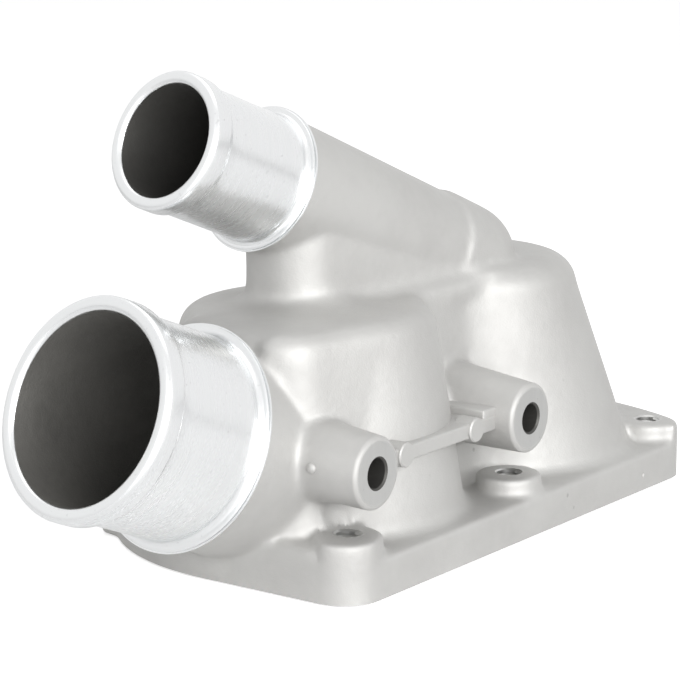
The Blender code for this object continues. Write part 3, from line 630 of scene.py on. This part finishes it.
def machine(obj, sizes, ends, holes):
    """Mill, bore and drill the casting."""
    bm = bmesh.new()
    bm.from_mesh(obj.data)
    cut_flat(bm, (0, 0, 0), -UP)
    bm.to_mesh(obj.data)
    bm.free()
    past, fit, inner_step, start = 2 * MM, 0.04 * MM, 0.6 * MM, -20 * MM
    overlap, wall = 6 * MM, 3.2 * MM
    roof = sizes.left_top - holes.roof
    first = [chamber_shape(holes.left_chamber, math.radians(3.0), roof, LEFT_CHAMBER_PLACE),
             chamber_shape(holes.right_chamber, math.radians(7.0), sizes.right_top - holes.roof, RIGHT_PLACE)]
    # trim both necks to where the turned hose ends begin
    first += [cylinder(radius, low, 8 * MM, mouth, SPIGOT_AXIS) for radius, low, mouth in
              ((27 * MM, -31 * MM, LARGE_MOUTH), (18.5 * MM, -32 * MM, SMALL_MOUTH))]
    first += [fixing_hole(holes, place, sizes.pad_height) for place in HOLE_PLACES]
    first += [boss_hole(sizes, holes, place) for place in BOSS_PLACES]
    first.append(dot(FLANGE_DOT, 0.8 * MM, (1.0, 0.5, 1.0)))
    boolean(obj, first, "DIFFERENCE")
    boolean(obj, [dot(BOSS_DOT, 1.3 * MM, (0.65, 1.0, 1.0))], "UNION")
    deep = LARGE_REACH + 14 * MM
    bore = [(0, -deep), (ends.large_bore - inner_step, -deep), (ends.large_bore + fit, -30 * MM),
            (ends.large_bore + fit, start), (0, start)]
    seat = cylinder(holes.seat_radius, -past, holes.seat_depth, RIGHT_PLACE, UP, LOBE_STEPS)
    throat = cylinder(holes.throat, roof - overlap - ELBOW.z, 0, ELBOW, UP, 72)
    boolean(obj, [turned(bore, LARGE_MOUTH, SPIGOT_AXIS, 128), seat, throat], "DIFFERENCE")
    tip = pipe_radius_at(sizes, ends, SMALL_REACH) - wall
    profile = [(0, -SMALL_REACH - tip)]
    profile += [(dx, -SMALL_REACH - dz) for dx, dz in arc(0, 0, tip, 80, 0, 8)]
    profile += [(ends.small_bore + fit, start), (0, start)]
    boolean(obj, [turned(profile, SMALL_MOUTH, SPIGOT_AXIS)], "DIFFERENCE")


def fixing_hole(holes, place, top):
    """Through hole to the thread's root, chamfered at both ends."""
    r, past = holes.thread_root, 2 * MM
    return turned([(0, -past), (r + 2.6 * MM, -past), (r, 0.6 * MM), (r, top - 0.35 * MM),
                   (r + 1.4 * MM, top + 1 * MM), (0, top + 1 * MM)], place, UP, 48)


def boss_hole(sizes, holes, place):
    """Blind drilled hole in a boss, with the milled face and its round edge."""
    r, chamfer, edge, tip = holes.boss_hole, 0.45 * MM, 1.2 * MM, 0.58
    depth = holes.boss_depth if place.x > 0 else LEFT_BOSS_DEPTH
    rim = sizes.boss_radius + 0.1 * MM
    profile = [(0, -4 * MM), (12 * MM, -4 * MM), (12 * MM, edge)]
    profile += [(rim - edge + dx, edge - dz) for dx, dz in arc(0, 0, edge, 0, 90, 6)]
    profile += [(r + chamfer, 0), (r, chamfer), (r, depth), (0, depth + r * tip)]
    return turned(profile, place, BACK)


def near_any(point, places, radius):
    """Whether a flat point lies close to one of the places."""
    return any((point - place).length < radius for place in places)


def finish_at(c, n, ends, holes):
    """Finish of a face of the machined casting, by its centre and normal."""
    # painted shade: chambers and the large bore take the dark inside look; boss holes, throat and small bore
    # take the darker drilled look
    slack, square, lean, chamber_end = 0.1 * MM, -0.999, 0.05, 53.8 * MM
    if n.z < square and abs(c.z) < 0.01 * MM:
        return MILLED
    if n.y < square and any(abs(c.y - p.y) < 0.02 * MM and (c - p).length < 10 * MM for p in BOSS_PLACES):
        return MILLED
    if c.z < 16 * MM and near_any(c.xy, [p.xy for p in HOLE_PLACES], holes.thread_root + 0.5 * MM):
        return MILLED
    if c.y < -20 * MM and near_any(c.xz, [p.xz for p in BOSS_PLACES], holes.boss_hole + 0.4 * MM):
        return DRILLED_PAINTED_SHADE
    if c.z < holes.seat_depth + slack and (c.xy - RIGHT_PLACE.xy).length < holes.seat_radius + slack:
        return MILLED
    left = c.x < 0
    middle = LEFT_CHAMBER_PLACE if left else RIGHT_PLACE
    limit = (holes.left_chamber if left else holes.right_chamber) - c.z * lean + slack
    if 0.01 * MM < c.z < chamber_end and (c.xy - middle.xy).length < limit:
        return INSIDE_PAINTED_SHADE
    if (c - ELBOW).length < holes.throat + 1.5 * MM:
        return DRILLED_PAINTED_SHADE
    for mouth, radius, reach, look in ((SMALL_MOUTH, ends.small_bore, SMALL_REACH, DRILLED_PAINTED_SHADE),
                                       (LARGE_MOUTH, ends.large_bore, LARGE_REACH + 16 * MM, INSIDE_PAINTED_SHADE)):
        offset = c - mouth
        depth = -offset.dot(SPIGOT_AXIS)
        if 0 < depth < reach and (offset + SPIGOT_AXIS * depth).length < radius + slack:
            return look
    return SKIN


def mark_machined(obj, ends, holes):
    """Give milled, drilled and inner faces their own finish by where they lie; the drilled and inner finishes
    are dark painted shade.
    """
    for face in obj.data.polygons:
        face.material_index = finish_at(face.center, face.normal, ends, holes)


# Turned hose ends

# Groove in the stop ring, in millimetres inwards from its rim and back from its front
RING_GROOVE = ((0.45, 0.0), (0.3, 0.12), (0.3, 0.3), (0.55, 0.38), (0.55, 0.5), (0.0, 0.58))


def hose_end_profile(bore, wall, bead, ring, length):
    """Closed section of a hose end: up the bore, over the lip and down the outside."""
    barrel = bore + wall
    crest = barrel + bead
    rim = barrel + ring
    lip = (crest - bore) / 2
    flat = 0.62
    bead_back, ramp_run, steps = 4.5 * MM, 2.0 * MM, 6
    inner, rear = barrel - 0.6 * MM, length + 1.6 * MM
    points = [(bore, -rear), (bore, -0.45 * MM - lip * flat * 0.5)]
    points += [(bore + lip + dx, (dz - lip) * flat) for dx, dz in arc(0, 0, lip, 150, 8, 14)]
    points += [(crest, -lip * flat - 0.6 * MM), (crest, -bead_back)]
    points += [(crest - bead * (1 - math.cos(math.pi * k / steps)) / 2, -bead_back - ramp_run * k / steps)
               for k in range(1, steps + 1)]
    front = length - 1.2 * MM
    fillet = ring * 0.55
    points += [(barrel, -9 * MM), (barrel, -front + fillet + 4 * MM)]
    points += [(barrel + fillet - dx, -front + fillet - dz) for dx, dz in arc(0, 0, fillet, 0, 84, 8)]
    points += [(rim - drop * MM, -front - back * MM) for drop, back in RING_GROOVE]
    points += [(rim, -length + 0.25 * MM), (rim - 0.22 * MM, -length + 0.02 * MM)]
    return points + [(inner, -length), (inner, -rear)]


# Tapped threads

def thread(holes, place, bottom, top):
    """Helical ridge standing on the wall of a tapped hole."""
    bm = bmesh.new()
    pitch, root, crest = holes.thread_pitch, holes.thread_root + 0.03 * MM, holes.thread_crest
    steps = 24
    turns = int((top - bottom) / pitch) - 1
    section = ((root, -0.44), (crest, -0.07), (crest, 0.07), (root, 0.44))
    start = bottom + pitch * 0.5
    verts = [bm.verts.new((radius, 0.0, start + pitch * share)) for radius, share in section]
    edges = [bm.edges.new((verts[k - 1], verts[k])) for k in range(len(verts))]
    bmesh.ops.spin(bm, geom=verts + edges, cent=(0, 0, 0), axis=(0, 0, 1), angle=math.tau * turns,
                   steps=steps * turns, dvec=(0, 0, pitch / steps))
    bmesh.ops.holes_fill(bm, edges=bm.edges[:])
    bmesh.ops.recalc_face_normals(bm, faces=bm.faces)
    bmesh.ops.translate(bm, vec=place, verts=bm.verts)
    return bm


# Materials

def feed(tree, socket, value):
    """Give an input a constant, or link a socket to it."""
    if isinstance(value, bpy.types.NodeSocket):
        tree.links.new(value, socket)
    else:
        socket.default_value = value


def node(tree, kind, inputs=(), **settings):
    """Shader node with its settings and with a constant or a link at each named input."""
    made = tree.nodes.new(kind)
    for key, value in settings.items():
        setattr(made, key, value)
    for key, value in inputs:
        feed(tree, made.inputs[key], value)
    return made


def noise(tree, vector, scale, detail=3.0, roughness=0.5):
    """Noise texture on a vector."""
    inputs = (("Scale", scale), ("Detail", detail), ("Roughness", roughness), ("Vector", vector))
    return node(tree, "ShaderNodeTexNoise", inputs).outputs["Fac"]


def ramp(tree, value, low, high, to_low=0.0, to_high=1.0):
    """Map a value from one range to another, clamped."""
    inputs = (("From Min", low), ("From Max", high), ("To Min", to_low), ("To Max", to_high))
    return node(tree, "ShaderNodeMapRange", (*inputs, ("Value", value))).outputs["Result"]


def calc(tree, operation, a, b):
    """Math node on sockets or numbers."""
    return node(tree, "ShaderNodeMath", ((0, a), (1, b)), operation=operation).outputs["Value"]


def shade(tone, share):
    """A tone at a share of its brightness."""
    return [c * share for c in tone]


def new_group(name, inputs, outputs):
    """Shader node group with float and vector sockets."""
    group = bpy.data.node_groups.new(name, "ShaderNodeTree")
    for label, kind, value in inputs:
        socket = group.interface.new_socket(name=label, in_out="INPUT", socket_type=kind)
        if value is not None:
            socket.default_value = value
    for label, kind in outputs:
        group.interface.new_socket(name=label, in_out="OUTPUT", socket_type=kind)
    start = group.nodes.new("NodeGroupInput")
    end = group.nodes.new("NodeGroupOutput")
    return group, start.outputs, end.inputs


def cast_grain_group():
    """Blasted die-cast skin: fine grain, soft orange peel, flow patches and small pits."""
    group, given, out = new_group(
        "Cast Grain",
        [("Vector", "NodeSocketVector", None), ("Grain", "NodeSocketFloat", 2600.0),
         ("Peel", "NodeSocketFloat", 520.0)],
        [("Height", "NodeSocketFloat"), ("Patches", "NodeSocketFloat"), ("Pits", "NodeSocketFloat")])
    fine = noise(group, given["Vector"], given["Grain"], 2.0)
    peel = noise(group, given["Vector"], given["Peel"], 1.0)
    soft = noise(group, given["Vector"], 95.0, 2.0)
    patches = noise(group, given["Vector"], 38.0, 4.0, 0.6)
    cells = node(group, "ShaderNodeTexVoronoi", (("Scale", 165.0), ("Vector", given["Vector"])))
    pit = ramp(group, cells.outputs["Distance"], 0.04, 0.10, 1.0, 0.0)
    chosen = ramp(group, noise(group, given["Vector"], 60.0, 1.0), 0.66, 0.72)
    pits = calc(group, "MULTIPLY", pit, chosen)
    height = calc(group, "ADD", calc(group, "MULTIPLY", fine, 0.35), calc(group, "MULTIPLY", peel, 0.55))
    height = calc(group, "ADD", height, calc(group, "MULTIPLY", soft, 0.9))
    height = calc(group, "SUBTRACT", height, calc(group, "MULTIPLY", pits, 0.8))
    group.links.new(height, out["Height"])
    group.links.new(patches, out["Patches"])
    group.links.new(pits, out["Pits"])
    return group


def turning_group():
    """Fine grooves that a lathe tool leaves, as rings along an axis."""
    group, given, out = new_group(
        "Turning Marks",
        [("Vector", "NodeSocketVector", None), ("Axis", "NodeSocketVector", (0.0, 0.0, 1.0)),
         ("Pitch", "NodeSocketFloat", 2800.0)],
        [("Height", "NodeSocketFloat"), ("Bands", "NodeSocketFloat"), ("Specks", "NodeSocketFloat")])
    along = node(group, "ShaderNodeVectorMath", ((0, given["Vector"]), (1, given["Axis"])),
                 operation="DOT_PRODUCT").outputs["Value"]
    line, wide = (node(group, "ShaderNodeCombineXYZ", (("X", calc(group, "MULTIPLY", along, pitch)),))
                  for pitch in (given["Pitch"], 420.0))
    rings = noise(group, line.outputs["Vector"], 1.0, 3.0, 0.6)
    bands = noise(group, wide.outputs["Vector"], 1.0, 2.0)
    specks = ramp(group, noise(group, given["Vector"], 900.0, 1.0), 0.72, 0.76)
    group.links.new(rings, out["Height"])
    group.links.new(bands, out["Bands"])
    group.links.new(specks, out["Specks"])
    return group


def mix_colour(tree, factor, a, b):
    """Mix two colours by a factor socket."""
    made = node(tree, "ShaderNodeMix", (("Factor", factor),), data_type="RGBA")
    for key, item in (("A", a), ("B", b)):
        socket = [s for s in made.inputs if s.name == key and s.type == "RGBA"][0]
        feed(tree, socket, item if isinstance(item, bpy.types.NodeSocket) else (*item, 1.0))
    return [s for s in made.outputs if s.type == "RGBA"][0]


def begin(name, metallic, roughness):
    """New material with its shader and the object coordinates."""
    mat = bpy.data.materials.new(name)
    mat.use_nodes = True
    tree = mat.node_tree
    shader = tree.nodes["Principled BSDF"]
    shader.inputs["Metallic"].default_value = metallic
    shader.inputs["Roughness"].default_value = roughness
    place = tree.nodes.new("ShaderNodeTexCoord")
    return mat, tree, shader, place.outputs["Object"]


def bump(tree, shader, height, depth):
    """Bump from a height that feeds the shader's normal."""
    made = node(tree, "ShaderNodeBump", (("Strength", 1.0), ("Distance", depth), ("Height", height)))
    feed(tree, shader.inputs["Normal"], made.outputs["Normal"])


def skin_material(name, group, light, dark, metallic, rough_low, rough_high, depth):
    """Cast skin between two greys."""
    mat, tree, shader, place = begin(name, metallic, 0.55)
    grain = node(tree, "ShaderNodeGroup", (("Vector", place),), node_tree=group).outputs
    base = mix_colour(tree, ramp(tree, grain["Patches"], 0.36, 0.62), dark, light)
    # painted shade: the pits are painted darker than the skin around them
    feed(tree, shader.inputs["Base Color"], mix_colour(tree, grain["Pits"], base, shade(dark, 0.8)))
    feed(tree, shader.inputs["Roughness"], ramp(tree, grain["Patches"], 0.3, 0.7, rough_high, rough_low))
    bump(tree, shader, grain["Height"], depth)
    return mat


def turned_material(name, group, tone, pitch, roughness, depth, axis):
    """Bright metal with tool rings along an axis."""
    mat, tree, shader, place = begin(name, 1.0, roughness)
    inputs = (("Vector", place), ("Axis", axis), ("Pitch", pitch))
    marks = node(tree, "ShaderNodeGroup", inputs, node_tree=group).outputs
    base = mix_colour(tree, ramp(tree, marks["Bands"], 0.35, 0.65), shade(tone, 0.97), tone)
    feed(tree, shader.inputs["Base Color"], mix_colour(tree, marks["Specks"], base, shade(tone, 0.88)))
    feed(tree, shader.inputs["Roughness"],
         ramp(tree, marks["Bands"], 0.3, 0.7, roughness * 1.25, roughness * 0.85))
    bump(tree, shader, marks["Height"], depth)
    return mat


def make_materials(colours):
    """All finishes of the housing by name; the waterway and drilled-hole looks are darkened as painted shade.
    """
    grain, marks = cast_grain_group(), turning_group()
    skin, dark, inside, bright, milled = (list(getattr(colours, key)) for key in
                                          ("skin", "skin_dark", "inside", "turned", "milled"))
    # painted shade: ever darker shares of the inside tone, which stand in for the shade in waterways, bores
    # and drilled holes
    dim_painted_shade, deep, deepest_painted_shade = (shade(inside, share) for share in (0.7, 0.5, 0.35))
    return {
        "skin": skin_material("Cast Skin", grain, skin, dark, 0.70, 0.56, 0.68, 0.00012),
        "inside": skin_material("Waterway Painted Shade", grain, inside, dim_painted_shade, 0.55, 0.5, 0.72, 0.00016),
        "drilled": skin_material("Drilled Hole Painted Shade", grain, deep, deepest_painted_shade, 0.5, 0.4, 0.6, 0.00008),
        "milled": turned_material("Milled Face", marks, milled, 900.0, 0.32, 0.00001, (1.0, 0.0, 0.0)),
        "turned": turned_material("Turned Hose End", marks, bright, 2800.0, 0.26, 0.0000022, SPIGOT_AXIS),
    }


MATERIALS = {}


def finishes(scene):
    """Make the materials once."""
    if not MATERIALS:
        MATERIALS.update(make_materials(scene.housing_finishes))
    return MATERIALS


# Operators

class HOUSING_OT_cast_body(bpy.types.Operator):
    """Cast body with its chambers, bores and drilled holes"""
    bl_idname = "housing.cast_body"
    bl_label = "Cast Body"

    def execute(self, context):
        scene = context.scene
        sizes, ends, holes = scene.housing_casting, scene.housing_hose_ends, scene.housing_holes
        obj = cast_skin(sizes, ends)
        machine(obj, sizes, ends, holes)
        looks = finishes(scene)
        # painted shade: the inside and drilled looks darken the chambers, bores and holes
        finish_piece(obj, [looks[key] for key in ("skin", "milled", "inside", "drilled")])
        mark_machined(obj, ends, holes)
        return {"FINISHED"}


class HOUSING_OT_hose_ends(bpy.types.Operator):
    """Large and small turned hose ends with bead and stop ring"""
    bl_idname = "housing.hose_ends"
    bl_label = "Hose Ends"

    def execute(self, context):
        ends = context.scene.housing_hose_ends
        looks = finishes(context.scene)
        # painted shade: the bores take the dark inside and drilled looks instead of the bright turned metal
        for side, mouth, bore_look in (("large", LARGE_MOUTH, "inside"), ("small", SMALL_MOUTH, "drilled")):
            bore, wall, bead, ring, length = (getattr(ends, side + "_" + key) for key in
                                              ("bore", "wall", "bead", "ring", "length"))
            section = hose_end_profile(bore, wall, bead, ring, length)
            solid = turned(section, mouth, SPIGOT_AXIS, ends.segments, closed=True)
            obj = to_object(side + "_hose_end", solid)
            finish_piece(obj, [looks["turned"], looks[bore_look]], 40.0)
            # painted shade: faces inside the bore get the dark bore look
            for face in obj.data.polygons:
                offset = face.center - mouth
                depth = -offset.dot(SPIGOT_AXIS)
                if depth > 0.7 * MM and (offset + SPIGOT_AXIS * depth).length < bore + 0.05 * MM:
                    face.material_index = 1
        return {"FINISHED"}


class HOUSING_OT_threads(bpy.types.Operator):
    """Threads of the six tapped fixing holes"""
    bl_idname = "housing.threads"
    bl_label = "Threads"

    def execute(self, context):
        holes = context.scene.housing_holes
        top = context.scene.housing_casting.pad_height
        shapes = [thread(holes, place, 0.4 * MM, top - 0.1 * MM) for place in HOLE_PLACES]
        obj = to_object("threads", joined(shapes))
        finish_piece(obj, [finishes(context.scene)["milled"]], 40.0)
        return {"FINISHED"}


class HOUSING_OT_stage(bpy.types.Operator):
    """Pale floor, soft studio light and the camera"""
    bl_idname = "housing.stage"
    bl_label = "Stage"

    def execute(self, context):
        stage = context.scene.housing_stage
        make_floor(stage)
        make_world(context.scene, stage)
        make_lights()
        make_camera(context.scene, stage)
        context.scene.view_settings.view_transform = "Standard"
        return {"FINISHED"}


def make_floor(stage):
    """Wide floor that keeps the shadow and shows white to the camera."""
    bm = bmesh.new()
    bmesh.ops.create_grid(bm, x_segments=2, y_segments=2, size=3.0)
    bmesh.ops.translate(bm, vec=(0, 0, -0.0003), verts=bm.verts)
    floor = to_object("studio_floor", bm)
    mat, tree, shader, _ = begin("Studio Floor", 0.0, 0.9)
    shader.inputs["Base Color"].default_value = (*stage.floor, 1.0)
    path = tree.nodes.new("ShaderNodeLightPath")
    shader.inputs["Emission Color"].default_value = (1.0, 1.0, 1.0, 1.0)
    seen = calc(tree, "MULTIPLY", path.outputs["Is Camera Ray"], 0.55)
    shown = calc(tree, "MULTIPLY", path.outputs["Is Glossy Ray"], 0.15)
    tree.links.new(calc(tree, "ADD", seen, shown), shader.inputs["Emission Strength"])
    floor.data.materials.append(mat)


def make_world(scene, stage):
    """White for the camera and for reflections, softer as light."""
    world = bpy.data.worlds.new("Studio")
    world.use_nodes = True
    tree = world.node_tree
    back = tree.nodes["Background"]
    path = tree.nodes.new("ShaderNodeLightPath")
    seen = calc(tree, "MAXIMUM", path.outputs["Is Camera Ray"], path.outputs["Is Transmission Ray"])
    seen = calc(tree, "MAXIMUM", seen, path.outputs["Is Glossy Ray"])
    level = ramp(tree, seen, 0.0, 1.0, stage.fill, 1.0)
    back.inputs["Color"].default_value = (1.0, 1.0, 1.0, 1.0)
    tree.links.new(level, back.inputs["Strength"])
    scene.world = world


def area_light(name, place, target, width, height, power):
    """Soft box that looks at a target."""
    lamp = bpy.data.lights.new(name, "AREA")
    lamp.shape = "RECTANGLE"
    lamp.size = width
    lamp.size_y = height
    lamp.energy = power
    obj = in_scene(name, lamp)
    obj.location = place
    obj.rotation_euler = (Vector(target) - Vector(place)).to_track_quat("-Z", "Y").to_euler()


def make_lights():
    """Low soft boxes at the front and at the left, and a weak one overhead."""
    area_light("front_box", (-0.44, -0.86, 0.33), (0, 0, 0.04), 1.0, 0.46, 9.8)
    area_light("left_box", (-0.95, -0.14, 0.36), (0, 0, 0.05), 0.8, 0.7, 2.2)
    area_light("top_box", (0.05, 0.05, 0.95), (0, 0, 0.03), 0.9, 0.7, 1.3)


def make_camera(scene, stage):
    """Camera at the photograph's angle, upright, without shift."""
    data = bpy.data.cameras.new("camera")
    data.lens = stage.lens
    data.sensor_width = 36.0
    data.clip_start = 0.01
    cam = in_scene("camera", data)
    forward = Vector(stage.view).normalized()
    right = forward.cross(UP).normalized()
    up = right.cross(forward)
    turn = Matrix((right, up, -forward)).transposed().to_4x4()
    cam.matrix_world = Matrix.Translation(Vector(stage.camera)) @ turn
    scene.camera = cam


class HOUSING_PT_panel(bpy.types.Panel):
    """Sizes, finishes and the steps that build the housing"""
    bl_idname = "HOUSING_PT_panel"
    bl_label = "Coolant Housing"
    bl_space_type = "VIEW_3D"
    bl_region_type = "UI"
    bl_category = "Housing"

    def draw(self, context):
        layout = self.layout
        for key in GROUPS:
            box = layout.box()
            box.label(text=key.replace("housing_", "").replace("_", " ").title())
            settings = getattr(context.scene, key)
            for field in GROUPS[key].__annotations__:
                box.prop(settings, field)
        for step in STEPS:
            layout.operator(step.bl_idname)


GROUPS = {
    "housing_casting": CastingSizes,
    "housing_hose_ends": HoseEndSizes,
    "housing_holes": HoleSizes,
    "housing_finishes": Finishes,
    "housing_stage": StageSettings,
}
STEPS = (HOUSING_OT_cast_body, HOUSING_OT_hose_ends, HOUSING_OT_threads, HOUSING_OT_stage)
CLASSES = (*GROUPS.values(), *STEPS, HOUSING_PT_panel)


def register():
    """Register the classes and hang the settings on the scene."""
    for cls in CLASSES:
        bpy.utils.register_class(cls)
    for key, cls in GROUPS.items():
        setattr(bpy.types.Scene, key, PointerProperty(type=cls))


def unregister():
    """Take the settings and classes away again."""
    for key in GROUPS:
        delattr(bpy.types.Scene, key)
    for cls in reversed(CLASSES):
        bpy.utils.unregister_class(cls)


def main():
    """Build the housing and its stage."""
    register()
    bpy.ops.housing.cast_body()
    bpy.ops.housing.hose_ends()
    bpy.ops.housing.threads()
    bpy.ops.housing.stage()


if __name__ == "__main__":
    main()
